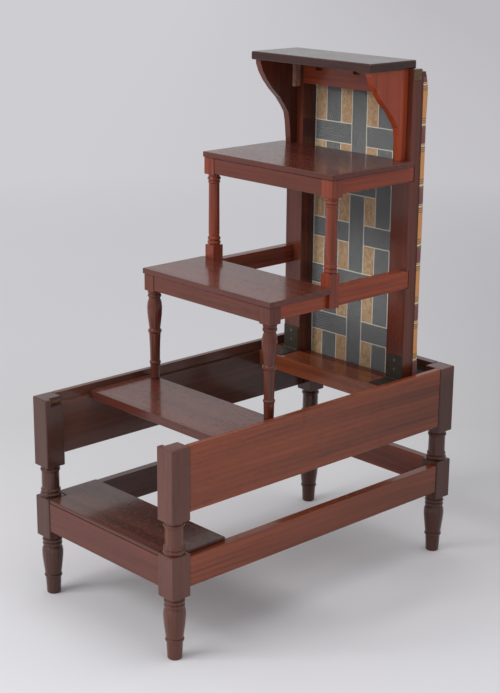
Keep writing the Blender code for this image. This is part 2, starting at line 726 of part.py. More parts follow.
def step_3():
    front = FRONT + TREAD_3_FRONT
    back = front + TREAD_3_DEPTH
    foot_half = FOOT_BLOCK_SIDE / 2
    narrow, notch = LEG_4_X - foot_half - GAP, LEG_4_Y - foot_half - GAP
    wide = TREAD_3_HALF_WIDTH
    outline = [(-wide, front), (wide, front), (wide, notch), (narrow, notch), (narrow, back)]
    outline += [(-x, y) for x, y in reversed(outline[2:])]
    prism("tread_3", outline, "Z", BOARD_3_BOTTOM, TREAD_3_TOP, MAHOGANY, ARRIS)
    under = BOARD_3_BOTTOM - GAP
    half = BLOCK_SIDE / 2
    face = LEG_3_Y - half + APRON_RECESS
    across = LEG_3_X - half - GAP
    high = (across, face + APRON_THICKNESS, under)
    block("apron_3", (-across, face, APRON_3_BOTTOM), high, MAHOGANY, ARRIS / 2)
    outer = FRAME_HALF_WIDTH - STEP_RAIL_RECESS
    inner = outer - STEP_RAIL_THICKNESS
    bottom = APRON_3_BOTTOM + STEP_RAIL_RAISE
    for word, side in SIDES:
        leg_3(word, side, under)
        side_block(
            f"rail_3_{word}", side, inner, outer,
            (LEG_3_Y + half + GAP, bottom), (LEG_4_Y - foot_half - GAP, under), MAHOGANY, ARRIS / 2
        )
        rear = side_block(
            f"rail_3_rear_{word}", side, inner, outer,
            (LEG_4_Y + foot_half + GAP, bottom), (STILE_FACE - GAP, RAIL_3_REAR_TOP), MAHOGANY, ARRIS / 2
        )
        lapped(rear, word, side, bottom, RAIL_3_REAR_TOP, FRAME_THICKNESS * LAP_3_SHARE)


def leg_3(word, side, top):
    """A square block under tread 3 with a turned leg that stands on tread 2."""
    half = BLOCK_SIDE / 2
    x, y = side * LEG_3_X, LEG_3_Y
    low = (x - half, y - half, APRON_3_BOTTOM - BLOCK_DROP)
    leg = block(f"leg_3_{word}", low, (x + half, y + half, top), MAHOGANY, ARRIS / 2)
    standing = TREAD_2_TOP + GAP
    turning = turned(f"leg_3_{word}_turning", LEG_3_SHARES, low[2] - standing, half, MAHOGANY)
    join(leg, place(turning, (x, y, standing)))


def step_4():
    front = FRONT + TREAD_4_FRONT
    back = STILE_FACE - GAP
    wide = TREAD_4_HALF_WIDTH
    block("tread_4", (-wide, front, BOARD_4_BOTTOM), (wide, back, TREAD_4_TOP), MAHOGANY, ARRIS)
    under = BOARD_4_BOTTOM - GAP
    half = BLOCK_SIDE / 2
    face = LEG_4_Y - half + APRON_RECESS
    across = LEG_4_X - half - GAP
    high = (across, face + APRON_THICKNESS, under)
    block("apron_4", (-across, face, APRON_4_BOTTOM), high, MAHOGANY, ARRIS / 2)
    outer = FRAME_HALF_WIDTH - STEP_RAIL_RECESS
    for word, side in SIDES:
        leg_4(word, side, under)
        bottom = APRON_4_BOTTOM + STEP_RAIL_RAISE
        rail = side_block(
            f"rail_4_{word}", side, outer - STEP_RAIL_THICKNESS, outer,
            (LEG_4_Y + half + GAP, bottom), (back, under), MAHOGANY, ARRIS / 2
        )
        lapped(rail, word, side, bottom, under, FRAME_THICKNESS * LAP_4_SHARE)


def leg_4(word, side, top):
    """A straight turned column between a block under tread 4 and a foot block beside tread 3."""
    half, foot = BLOCK_SIDE / 2, FOOT_BLOCK_SIDE / 2
    x, y = side * LEG_4_X, LEG_4_Y
    low = (x - half, y - half, APRON_4_BOTTOM - BLOCK_DROP)
    leg = block(f"leg_4_{word}", low, (x + half, y + half, top), MAHOGANY, ARRIS / 2)
    high = (x + foot, y + foot, FOOT_BLOCK_TOP)
    foot_block = block(
        f"leg_4_{word}_foot_block", (x - foot, y - foot, APRON_3_BOTTOM), high, MAHOGANY, ARRIS / 2
    )
    turning = turned(f"leg_4_{word}_turning", LEG_4_SHARES, low[2] - FOOT_BLOCK_TOP, half, MAHOGANY)
    join(leg, place(turning, (x, y, FOOT_BLOCK_TOP)), foot_block)


def step_5():
    """The top tread, carried by the stiles and by two ogee brackets on their front faces."""
    front = STILE_FACE - TREAD_5_REACH
    wide = TREAD_5_HALF_WIDTH
    low = (-wide, front, FRAME_TOP + GAP)
    soften(block("tread_5", low, (wide, front + TREAD_5_DEPTH, TREAD_5_TOP), MAHOGANY), ARRIS * 2, 2)
    top, foot = FRAME_TOP, TREAD_4_TOP + GAP
    face = STILE_FACE - GAP
    outline = [(face, foot), (face, top)]
    for reach_share, drop_share in BRACKET_SHARES:
        outline.append((face - BRACKET_TOP_REACH * reach_share, top - (top - foot) * drop_share))
    inner = BRACKET_OUTER_FACE - BRACKET_THICKNESS
    for word, side in SIDES:
        xs = sorted((side * inner, side * BRACKET_OUTER_FACE))
        prism(f"bracket_{word}", outline, "X", *xs, MAHOGANY)
        side_block(
            f"glue_block_{word}", side, inner - GAP - GLUE_BLOCK_SIDE, inner - GAP,
            (face - GLUE_BLOCK_DEPTH, top - (top - foot) * GLUE_BLOCK_SHARE), (face, top), PALE_BLOCK,
            ARRIS / 2
        )


def catches():
    """A brass plate on each stile's outer face meets a brass keeper in the front post's notch when closed."""
    keeper_back = FRONT + POST_SIDE - KEEPER_FROM_POST_BACK
    keeper_low = HINGE_HEIGHT + NOTCH_ABOVE_HINGE + KEEPER_RAISE
    plate_top = FRAME_TOP - CATCH_DROP
    plate_middle = (STILE_FACE + STILE_BACK) / 2
    wall = POST_INNER + NOTCH_DEPTH - GAP
    face = FRAME_HALF_WIDTH + GAP
    for word, side in SIDES:
        side_block(
            f"keeper_{word}",
            side,
            wall - KEEPER_THICKNESS,
            wall,
            (keeper_back - KEEPER_LENGTH, keeper_low),
            (keeper_back, keeper_low + KEEPER_HEIGHT),
            BRASS,
        )
        side_block(
            f"catch_plate_{word}",
            side,
            face,
            face + CATCH_THICKNESS,
            (plate_middle - CATCH_WIDTH / 2, plate_top - CATCH_HEIGHT),
            (plate_middle + CATCH_WIDTH / 2, plate_top),
            BRASS,
        )


base_posts()
base_rails()
base_stretchers()
tread_1()
hinge_rail()
hinges()
stiles()
frame_rails()
pad()
tread_2()
step_3()
step_4()
step_5()
catches()
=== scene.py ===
# %% [markdown]
# A library step chair: a low mahogany bench on turned legs, whose padded seat
# swings up on two hinges and carries three treads behind it, while two more lie
# in the bench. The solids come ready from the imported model, in metres, with the
# floor at z = 0 and the front at -Y. This file only adds what a solid model
# can't hold: the wood, the metal, the woven cloth and the stuffed cushion, then
# the light.

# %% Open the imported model
import bmesh
import bpy
import math
import numpy as np
from mathutils import Matrix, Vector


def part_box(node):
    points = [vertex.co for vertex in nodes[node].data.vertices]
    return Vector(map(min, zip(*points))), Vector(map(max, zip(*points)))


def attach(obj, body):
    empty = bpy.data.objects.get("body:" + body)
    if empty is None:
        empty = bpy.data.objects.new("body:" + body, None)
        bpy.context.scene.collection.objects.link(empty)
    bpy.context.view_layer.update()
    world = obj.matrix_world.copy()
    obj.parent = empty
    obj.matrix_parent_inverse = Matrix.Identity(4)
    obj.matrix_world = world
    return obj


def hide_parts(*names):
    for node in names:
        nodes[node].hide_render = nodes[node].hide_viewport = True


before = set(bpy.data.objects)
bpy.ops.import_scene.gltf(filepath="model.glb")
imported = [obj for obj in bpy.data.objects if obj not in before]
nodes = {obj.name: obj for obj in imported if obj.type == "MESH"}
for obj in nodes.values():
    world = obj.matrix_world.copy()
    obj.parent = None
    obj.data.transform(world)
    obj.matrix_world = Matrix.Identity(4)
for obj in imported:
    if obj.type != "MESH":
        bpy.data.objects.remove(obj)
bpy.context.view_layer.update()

# %% [markdown]
# The camera stands at shoulder height off the right front corner and looks a
# little down. It could be placed by trial, but its turn, tilt, roll, distance
# and lens were worked out once from the corners of the posts and treads, so
# they are written here as numbers. Its three axes are built from the turn and
# the tilt, and the small roll leans the picture by half a degree.

# %% Place the camera
CAMERA_TURN, CAMERA_TILT, CAMERA_ROLL = 0.8168, 0.2877, 0.0083
CAMERA_AIM = np.array([-0.0039, 0.0, 0.5204])
CAMERA_DISTANCE, LENS, SENSOR_HEIGHT = 3.2671, 78.95, 36.0


def look_axes(turn, tilt, roll):
    """Right, up and forward. Forward is the turn and tilt as a unit vector, right is level, and the
    roll turns right and up about forward."""
    ahead = np.array([
        -math.sin(turn) * math.cos(tilt), math.cos(turn) * math.cos(tilt), -math.sin(tilt)])
    level = np.array([math.cos(turn), math.sin(turn), 0.0])
    rise = np.cross(level, ahead)
    right = math.cos(roll) * level + math.sin(roll) * rise
    up = math.cos(roll) * rise - math.sin(roll) * level
    return right, up, ahead


right, up, ahead = look_axes(CAMERA_TURN, CAMERA_TILT, CAMERA_ROLL)
eye = bpy.data.objects.new("camera", bpy.data.cameras.new("camera"))
bpy.context.scene.collection.objects.link(eye)
eye.data.lens, eye.data.sensor_fit, eye.data.sensor_height = LENS, "VERTICAL", SENSOR_HEIGHT
placed = np.eye(4)
placed[:3, 0], placed[:3, 1], placed[:3, 2] = right, up, -ahead
placed[:3, 3] = CAMERA_AIM - ahead * CAMERA_DISTANCE
eye.matrix_world = Matrix(placed)
bpy.context.scene.camera = eye
bpy.context.scene.view_settings.view_transform = "Standard"
print("camera at", np.round(placed[:3, 3], 3))

# %% [markdown]
# Every finish below is arithmetic on positions: how far along the board, how
# far across, which stripe. Nodes can be wired one by one, but a sum is easier
# to read as a sum, so one small class wraps a socket and lets +, -, * and /
# add the Math node. Positions and colours take Vector Math instead, because a
# plain Math node would turn them grey.

# %% A socket that can be added and multiplied
class Wire:
    """One output socket of a material. Arithmetic on it adds a Math node, or Vector Math where a value
    has three parts."""

    def __init__(self, tree, socket=None):
        self.tree, self.socket = tree, socket

    def node(self, kind, settings=None, sockets=None, output=0):
        """Adds a node of this kind: its settings first, a ramp's stops among them, then the value or wire
        of each socket."""
        made = self.tree.nodes.new(kind)
        for name, value in (settings or {}).items():
            if name == "stops":
                set_stops(made.color_ramp, value)
            else:
                setattr(made, name, value)
        for name, value in (sockets or {}).items():
            if isinstance(value, Wire):
                self.tree.links.new(value.socket, made.inputs[name])
            else:
                made.inputs[name].default_value = value
        return Wire(self.tree, made.outputs[output])

    def sum(self, operation, *terms):
        """One Math or Vector Math node on these terms. A number beside a vector is used for all three
        of its parts."""
        wide = any(isinstance(term, Wire) and term.socket.type != "VALUE" for term in terms)
        filled = [(term,) * 3 if wide and isinstance(term, (int, float)) else term for term in terms]
        kind = "ShaderNodeVectorMath" if wide else "ShaderNodeMath"
        return self.node(kind, {"operation": operation}, dict(enumerate(filled)))

    def __add__(self, other):
        return self.sum("ADD", self, other)

    def __sub__(self, other):
        return self.sum("SUBTRACT", self, other)

    def __rsub__(self, other):
        return self.sum("SUBTRACT", other, self)

    def __mul__(self, other):
        return self.sum("MULTIPLY", self, other)

    def __truediv__(self, other):
        return self.sum("DIVIDE", self, other)

    def __lt__(self, other):
        return self.sum("LESS_THAN", self, other)

    def __gt__(self, other):
        return self.sum("GREATER_THAN", self, other)

    __radd__, __rmul__ = __add__, __mul__


def set_stops(ramp, stops):
    """Gives a ramp these (place, colour) stops, in order along it."""
    while len(ramp.elements) < len(stops):
        ramp.elements.new(1.0)
    for element, (place, colour) in zip(ramp.elements, stops):
        element.position, element.color = place, colour


# %% Colours as they are seen
def seen(red, green, blue):
    """A colour given as it looks on a screen, 0 to 255, turned into the linear light that the shaders
    add up."""
    share = np.array([red, green, blue]) / 255.0
    light = np.where(share <= 0.04045, share / 12.92, ((share + 0.055) / 1.055) ** 2.4)
    return (*[float(part) for part in light], 1.0)


def mixed(share, first, second):
    """first where share is 0 and second where it is 1; either may be a colour or a wire."""
    return share.node("ShaderNodeMix", {"data_type": "RGBA"}, {0: share, 6: first, 7: second}, 2)


def noise(place, scale, detail=3.0, roughness=0.55):
    """Cloudy values from 0 to 1, most of them near a half, scale clouds to the metre."""
    clouds = {"Vector": place, "Scale": scale, "Detail": detail, "Roughness": roughness}
    return place.node("ShaderNodeTexNoise", {}, clouds)


def spread(value, low, high, to_low=0.0, to_high=1.0):
    """A value between low and high carried to between to_low and to_high, held at the ends."""
    limits = {"Value": value, "From Min": low, "From Max": high, "To Min": to_low, "To Max": to_high}
    return value.node("ShaderNodeMapRange", {}, limits)


def finish_of(name):
    """A new material, its shader node and a first wire: the position on the piece, in metres."""
    material = bpy.data.materials.new(name)
    material.use_nodes = True
    shader = material.node_tree.nodes["Principled BSDF"]
    place = Wire(material.node_tree).node("ShaderNodeTexCoord", output=3)
    return material, shader, place


def wear(material, shader, sockets):
    """Links these wires to the shader's sockets, or sets a plain number on the socket itself."""
    for name, value in sockets.items():
        if isinstance(value, Wire):
            material.node_tree.links.new(value.socket, shader.inputs[name])
        else:
            shader.inputs[name].default_value = value


def axes_of(place, axes):
    """The parts of a position that these numbers name, 0 for X to 2 for Z."""
    return [place.node("ShaderNodeSeparateXYZ", {}, {0: place}, output=axis) for axis in axes]


def dot(first, second):
    """The dot product of two directions, or how far a position lies along a direction."""
    return first.node("ShaderNodeVectorMath", {"operation": "DOT_PRODUCT"}, {0: first, 1: second}, 1)


def length_of(place):
    """The distance of a position from the origin."""
    return place.node("ShaderNodeVectorMath", {"operation": "LENGTH"}, {0: place}, 1)


def bumped(height, strength, distance, **more):
    """The normal of a surface that height lifts by up to distance metres."""
    sockets = {"Strength": strength, "Distance": distance, "Height": height, **more}
    return height.node("ShaderNodeBump", {}, sockets)


def dress(piece, material):
    """Gives a piece this material and no other."""
    piece.data.materials.clear()
    piece.data.materials.append(material)


print("mahogany as seen (107, 62, 51) is linear", np.round(seen(107, 62, 51)[:3], 3))

# %% [markdown]
# Old mahogany is read from far off by its streaks and from close by its pores.
# A tree adds a ring each year, so a board shows cuts through nested tubes: that
# is a sine of the distance from a line a little way outside the board. Fine
# streaks and short dark pores are clouds stretched along the grain. The same
# recipe serves every board, turned to its grain and slid to a part of the tree
# of its own, so that no two boards show the same figure.

# %% The mahogany recipe
TURNS = {"x": (0.0, 0.0, 0.0), "y": (0.0, 0.0, -math.pi / 2), "z": (0.0, math.pi / 2, 0.0)}
RING, TUBE = 0.0105, (0.045, 1.0, 1.0)
SHAKEN_ACROSS, SHAKEN_THROUGH = 0.030, 0.018
TO_THE_METRE = {
    "shake": (1.6, 7.0, 7.0), "streaks": (3.0, 125.0, 125.0), "bands": (0.9, 20.0, 20.0),
    "pores": (70.0, 760.0, 760.0),
}
FLAT_LEAN, EDGE_LEAN = 0.995, 0.80
PORE = (0.012, 0.006, 0.005, 1.0)
# Painted shade: low down the wood is darkened from the front towards the back, standing in for the shade
# there. The first number is the tone where none is painted.
UNSHADED_TONE, PAINTED_SHADE_SHARE = 1.14, 0.48
PAINTED_SHADE_FRONT, PAINTED_SHADE_BACK, PAINTED_SHADE_TOP, PAINTED_SHADE_UNDER = -0.42, 0.30, 0.45, 0.41


def figure(place):
    """Streaks, bands, rings, pores and blotches of a board, each from 0 to 1. Rings are a sine of the
    distance from the tree's middle line, shaken by a slow cloud. The rest are clouds, and all but the
    blotches are stretched along the grain."""
    along = place.node("ShaderNodeMapping", {"name": "board"}, {"Vector": place})
    shake = noise(along * TO_THE_METRE["shake"], 1.0, 2.0) - 0.5
    shaken = {"Y": shake * SHAKEN_ACROSS, "Z": shake * SHAKEN_THROUGH}
    bent = along + place.node("ShaderNodeCombineXYZ", {}, shaken)
    streaks = noise(bent * TO_THE_METRE["streaks"], 1.0, 5.0, 0.62)
    bands = noise(bent * TO_THE_METRE["bands"], 1.0, 2.0)
    rings = place.sum("SINE", length_of(bent * TUBE) * (2.0 * math.pi / RING)) * 0.5 + 0.5
    pores = noise(along * TO_THE_METRE["pores"], 1.0, 1.0)
    blotches = noise(along, 5.5, 2.0)
    return streaks, bands, rings, pores, blotches


def arris(place, reach=0.0012):
    """A rounded normal, and how far it leans away from the true one: 1 on an edge and 0 on a flat."""
    rounded = place.node("ShaderNodeBevel", {"samples": 4}, {"Radius": reach})
    lean = dot(rounded, place.node("ShaderNodeNewGeometry", output=1))
    return rounded, spread(lean, FLAT_LEAN, EDGE_LEAN)


def mahogany(name, polish=0.17):
    """The wood of a board: bands and rings lead from the deep to the pale colour, streaks and pores
    darken it, edges wear, and low down a painted shade darkens it towards the back. Its Mapping node,
    called board, and its two colours, called pale and deep, are what one board has for itself."""
    material, shader, place = finish_of(name)
    pale, deep = [place.node("ShaderNodeRGB", {"name": colour}) for colour in ("pale", "deep")]
    streaks, bands, rings, pores, blotches = figure(place)
    rounded, edge = arris(place)
    y, z = axes_of(place, (1, 2))
    # Painted shade: below 0.45 m, and fully below 0.41 m, the colour grows darker from the front to the
    # back.
    behind = spread(y, PAINTED_SHADE_FRONT, PAINTED_SHADE_BACK, 0.0, PAINTED_SHADE_SHARE)
    fade = UNSHADED_TONE - behind * spread(z, PAINTED_SHADE_TOP, PAINTED_SHADE_UNDER)
    tone = spread(bands * 0.55 + streaks * 0.45 + (rings - 0.5) * 0.07, 0.30, 0.70)
    wood = mixed(tone, deep, pale)
    wood = mixed(spread(streaks, 0.42, 0.28, 0.0, 0.38), wood, deep * 0.55)
    # The painted shade multiplies the colour here.
    wood = mixed(spread(blotches, 0.40, 0.68, 0.0, 0.30), wood, pale * 0.62) * fade
    wood = mixed(spread(pores, 0.62, 0.74, 0.0, 0.55), wood, PORE)
    rubbed = noise(place, 38.0, 3.0)
    wood = mixed(edge * spread(rubbed, 0.42, 0.60, 0.0, 0.55), wood, deep * 0.35)
    wood = mixed(edge * spread(rubbed, 0.46, 0.34, 0.0, 0.35), wood, pale * 1.5)
    gloss = polish + (blotches - 0.5) * 0.20 + spread(pores, 0.60, 0.74, 0.0, 0.20) + edge * 0.06
    relief = streaks * 0.35 - spread(pores, 0.60, 0.72) * 0.6 + noise(place, 26.0, 2.0) * 0.9
    wear(material, shader, {
        "Base Color": wood, "Roughness": gloss,
        "Normal": bumped(relief, 0.22, 0.0009, Normal=rounded),
        "IOR": 1.40, "Coat Weight": 0.15, "Coat Roughness": 0.05})
    return material


def board_wood(recipe, name, grain, slide, pale, deep):
    """A copy of the recipe for one board: turned to its grain, slid to its own part of the tree, in its
    own two colours."""
    wood = recipe.copy()
    wood.name = name
    made = wood.node_tree.nodes
    made["board"].inputs["Rotation"].default_value = TURNS[grain]
    made["board"].inputs["Location"].default_value = slide
    made["pale"].outputs[0].default_value = pale
    made["deep"].outputs[0].default_value = deep
    return wood


recipe = mahogany("mahogany")
print("the recipe has", len(recipe.node_tree.nodes), "nodes")

# %% Wood for each board
# Each pair is the pale and the deep colour of a board, as they are seen. Besides each board's own tone
# the pairs hold painted light and shade: where mirrored parts differ, the one on the near, right side
# takes the lighter pair and the far, left one the darker.
RED = (seen(152, 68, 42), seen(92, 38, 25))
WARM = (seen(168, 74, 38), seen(108, 44, 24))
PLUM = (seen(104, 61, 48), seen(80, 46, 37))
DULL = (seen(94, 56, 47), seen(54, 31, 26))
DARK = (seen(104, 54, 43), seen(70, 35, 28))
TOP = (seen(64, 34, 28), seen(42, 22, 19))
FACE = (seen(108, 52, 37), seen(76, 36, 26))
REST = (seen(186, 98, 62), seen(120, 64, 42))
RAIL = (seen(156, 76, 44), seen(98, 45, 26))
SHADED = (seen(84, 52, 43), seen(64, 39, 33))
FAR_SHADED = (seen(110, 68, 54), seen(72, 43, 35))
NEAR_LIT = (seen(160, 68, 38), seen(122, 48, 28))
BOARDS = {
    "x": [
        "stretcher_front", "stretcher_back", "back_rail", "tread_1", "hinge_rail", "frame_top_rail",
        "frame_bottom_rail", "pad_top_rail", "pad_bottom_rail", "tread_2", "tread_3", "apron_3",
        "tread_4", "apron_4", "tread_5"],
    "y": [
        "side_rail_left", "side_rail_right", "stretcher_left", "stretcher_right", "rail_3_left",
        "rail_3_right", "rail_3_rear_left", "rail_3_rear_right", "rail_4_left", "rail_4_right"],
    "z": [
        "post_front_left", "post_front_right", "post_rear_left", "post_rear_right", "stile_left",
        "stile_right", "pad_stile_left", "pad_stile_right", "leg_3_left", "leg_3_right",
        "leg_4_left", "leg_4_right", "bracket_left", "bracket_right"],
}
# Painted light and shade: near, right-hand parts take lighter pairs than their far, left-hand twins.
COLOURS = {
    "side_rail_right": RAIL, "stretcher_right": RAIL, "side_rail_left": FAR_SHADED, "back_rail": DULL,
    "stretcher_left": DULL, "stretcher_front": FACE, "tread_1": DULL, "hinge_rail": REST,
    "post_front_left": SHADED, "post_front_right": PLUM, "post_rear_left": PLUM, "post_rear_right": PLUM,
    "tread_2": DARK, "tread_3": DARK, "tread_4": DARK, "tread_5": TOP, "apron_3": FACE, "apron_4": FACE,
    "stile_left": FACE, "stile_right": FACE, "bracket_left": FACE, "bracket_right": NEAR_LIT,
    "leg_3_left": FACE, "leg_3_right": FACE, "rail_3_right": WARM, "rail_3_rear_right": WARM,
    "pad_stile_left": DULL, "pad_stile_right": DULL, "pad_top_rail": DULL, "pad_bottom_rail": DULL,
}


def slide_of(count):
    """Where board number count lies in the tree: further along each time, and well off its middle."""
    return 0.37 * count, 0.11 + 0.053 * (count % 7), 0.085 + 0.041 * (count % 5)


count = 0
for grain, boards in BOARDS.items():
    for board in boards:
        pale, deep = COLOURS.get(board, RED)
        wood = board_wood(recipe, "mahogany_" + board, grain, slide_of(count), pale, deep)
        dress(nodes[board], wood)
        count += 1
print(count, "boards have wood of their own")

# %% [markdown]
# The fittings are small but they catch the eye: plain iron butt hinges, their
# pins and screws, and a thin brass catch with its keeper. Old iron is dark
# where it rusted and paler where it was rubbed, so clouds choose between the
# two and change the roughness with the colour. The glue blocks are a paler,
# unpolished softwood.

# %% Iron, brass and the pale blocks
def aged_metal(name, clean, tarnish, rough_clean, rough_tarnish, metal):
    """Clouds mix a clean colour and a tarnished one; the tarnish is rougher and less like metal."""
    material, shader, place = finish_of(name)
    rounded, edge = arris(place, 0.0010)
    clouds = noise(place, 170.0, 5.0, 0.70)
    dull = spread(clouds - edge * 0.16, 0.36, 0.60)
    colour = mixed(dull, clean, tarnish)
    wear(material, shader, {
        "Base Color": colour, "Metallic": (1.0 - dull) * metal,
        "Roughness": spread(dull, 0.0, 1.0, rough_clean, rough_tarnish),
        "Normal": bumped(clouds, 0.35, 0.0004, Normal=rounded)})
    return material


def pale_block(name):
    """Softwood left bare: a straight grain along Z, darker with dust in patches."""
    material, shader, place = finish_of(name)
    grain = noise(place * (240.0, 240.0, 9.0), 1.0, 4.0)
    dust = noise(place, 60.0, 3.0)
    wood = mixed(spread(grain, 0.35, 0.65), seen(150, 104, 84), seen(196, 150, 128))
    wood = mixed(spread(dust, 0.45, 0.75, 0.0, 0.6), wood, seen(110, 74, 60))
    bump = bumped(grain, 0.3, 0.0005)
    wear(material, shader, {"Base Color": wood, "Roughness": 0.72, "Normal": bump})
    return material


iron = aged_metal("aged_iron", seen(80, 70, 58), seen(48, 39, 32), 0.42, 0.70, 0.6)
steel = aged_metal("rubbed_screw_heads", seen(146, 140, 128), seen(82, 74, 62), 0.34, 0.66, 0.9)
brass = aged_metal("tarnished_brass", seen(132, 104, 70), seen(86, 64, 48), 0.38, 0.66, 0.8)
block = pale_block("bare_softwood")
FITTINGS = {
    "rail_leaf": iron, "frame_leaf": iron, "hinge_pin": iron, "hinge_screw": steel,
    "keeper": brass, "catch_plate": brass, "glue_block": block,
}
fitted = 0
for name, piece in nodes.items():
    for start, material in FITTINGS.items():
        if name.startswith(start):
            dress(piece, material)
            fitted += 1
print(fitted, "fittings finished")

# %% [markdown]
# Behind the open frame a woven cloth closes the seat board: broad charcoal
# bands cross each other over a tan ground, each passing over one and under the
# next, with a line of cream stitches along whichever band lies on top. The
# cloth is stretched flat and nailed, so its form is a grid that hardly moves;
# only the bands stand up a little where they pass over. One set of sizes makes
# both the relief and the colours, so the two can't drift apart.

# %% Sizes of the banded cloth
COLUMN_PITCH, COLUMN_MIDDLE, COLUMN_HALF = 0.0778, 0.0009, 0.0223
ROW_PITCH, ROW_MIDDLE, ROW_HALF, TOP_ROW = 0.1110, 0.9443, 0.0228, 1.0000
STITCH_WIDTH, STITCH_PITCH, STITCH_GAP = 0.0010, 0.0080, -0.45
WEAVE_PITCH, WEAVE_TURN, WEAVE_JITTER = 0.0062, 0.0074, 0.0040
BAND_EDGE, RIPPLE = 0.0007, 0.0002
cloth_low, cloth_high = [np.array(corner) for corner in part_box("webbing")]
print("opening for the cloth", np.round(cloth_high - cloth_low, 4))


# %% The stretched cloth
def grid_faces(rows, columns):
    """The quads of a grid of points stored row by row, each as its four corners."""
    corner = np.arange(rows * columns).reshape(rows, columns)
    loops = (corner[:-1, :-1], corner[1:, :-1], corner[1:, 1:], corner[:-1, 1:])
    return np.stack(loops, axis=-1).reshape(-1, 4)


def mesh_object(name, points, faces):
    """A smooth mesh object from arrays of points and of faces, whose place is in its points."""
    mesh = bpy.data.meshes.new(name)
    mesh.from_pydata(points.reshape(-1, 3), [], faces.tolist())
    mesh.polygons.foreach_set("use_smooth", np.ones(len(mesh.polygons), bool))
    piece = bpy.data.objects.new(name, mesh)
    bpy.context.scene.collection.objects.link(piece)
    return piece


def band_relief(x, z):
    """Height of the cloth at x and z: 1 in a band that passes over, a half in one that passes under and
    0 on the ground. A band's edge is a steep smooth step of the distance from its middle line, and the
    turn is the sum of its row and column numbers."""
    column, row = (x - COLUMN_MIDDLE) / COLUMN_PITCH, (ROW_MIDDLE - z) / ROW_PITCH
    turn = (np.round(column) + np.round(row)) % 2
    from_column = np.abs(column - np.round(column)) * COLUMN_PITCH
    from_row = np.abs(row - np.round(row)) * ROW_PITCH
    in_column = 1 / (1 + np.exp((from_column - COLUMN_HALF) / BAND_EDGE))
    in_row = (z < TOP_ROW) / (1 + np.exp((from_row - ROW_HALF) / BAND_EDGE))
    return np.maximum(in_column * (1 - 0.5 * turn), in_row * (0.5 + 0.5 * turn))


def stretched_cloth(low, high, step=0.0026, relief=0.0005, wall=0.0007):
    """A flat grid in X and Z between two corners. Y is its middle, less the relief of the bands, plus a
    slow ripple that dies at the nailed edges."""
    across = np.linspace(low[0], high[0], int((high[0] - low[0]) / step))
    height = np.linspace(low[2], high[2], int((high[2] - low[2]) / step))
    x, z = np.meshgrid(across, height)
    inside_x = np.sin(np.pi * (x - low[0]) / (high[0] - low[0]))
    inside_z = np.sin(np.pi * (z - low[2]) / (high[2] - low[2]))
    ripple = RIPPLE * np.sin(31 * x + 9 * z) * (inside_x * inside_z)
    y = 0.5 * (low[1] + high[1]) + ripple - relief * (band_relief(x, z) - 0.5)
    points = np.stack([x, y, z], axis=-1)
    piece = mesh_object("banded_cloth", points, grid_faces(len(height), len(across))[:, ::-1])
    thick = piece.modifiers.new("wall", "SOLIDIFY")
    thick.thickness, thick.offset = wall, 0.0
    return piece


banded = stretched_cloth(cloth_low, cloth_high)
print("cloth points", len(banded.data.vertices))

# %% [markdown]
# The cloth's colour comes from the same rows and columns. The charcoal yarn is
# a herringbone: slanting lines that turn back every few threads, flecked with
# beige where the weft shows. The tan ground has fine upright lines. All of it
# is read from the position on the cloth, in metres, so that the threads keep
# their size however the piece is cut.

# %% The banded weave
def zigzag(along, across):
    """Slanting lines that turn back again and again: a sine of across plus the folded distance along."""
    folded = along.node("ShaderNodeMath", {"operation": "PINGPONG"}, {0: along, 1: WEAVE_TURN})
    return across.sum("SINE", (across + folded) * (2.0 * math.pi / WEAVE_PITCH)) * 0.5 + 0.5


def charcoal_yarn(x, z, fuzz, row_on_top):
    """The twill of the bands and its colour. Its lines run with whichever band lies on top."""
    jitter = (fuzz - 0.5) * WEAVE_JITTER
    upright, level = zigzag(z, x + jitter), zigzag(x, z + jitter)
    twill = upright + row_on_top * (level - upright)
    flecks = spread(twill * 0.34 + fuzz * 0.66, 0.36, 0.64)
    charcoal = mixed(flecks, seen(62, 67, 71), seen(152, 154, 153))
    beige = spread(fuzz, 0.58, 0.68, 0.0, 0.45)
    return twill, mixed(beige, charcoal, seen(186, 178, 160))


def tan_ground(place, fuzz, clouds):
    """The upright threads of the ground and their colour, redder in patches."""
    threads = noise(place * (260.0, 260.0, 70.0), 1.0, 3.0)
    flecks = spread(threads * 0.4 + fuzz * 0.6, 0.36, 0.64)
    tan = mixed(flecks, seen(158, 124, 90), seen(218, 190, 154))
    patches = spread(clouds, 0.45, 0.70, 0.0, 0.45)
    return threads, mixed(patches, tan, seen(200, 154, 118))


def dashes(along):
    """How strong a line of stitches is at this distance along it: most on a stitch, less between two."""
    on_stitch = along.sum("SINE", along * (2.0 * math.pi / STITCH_PITCH)) > STITCH_GAP
    return on_stitch * 0.35 + 0.60


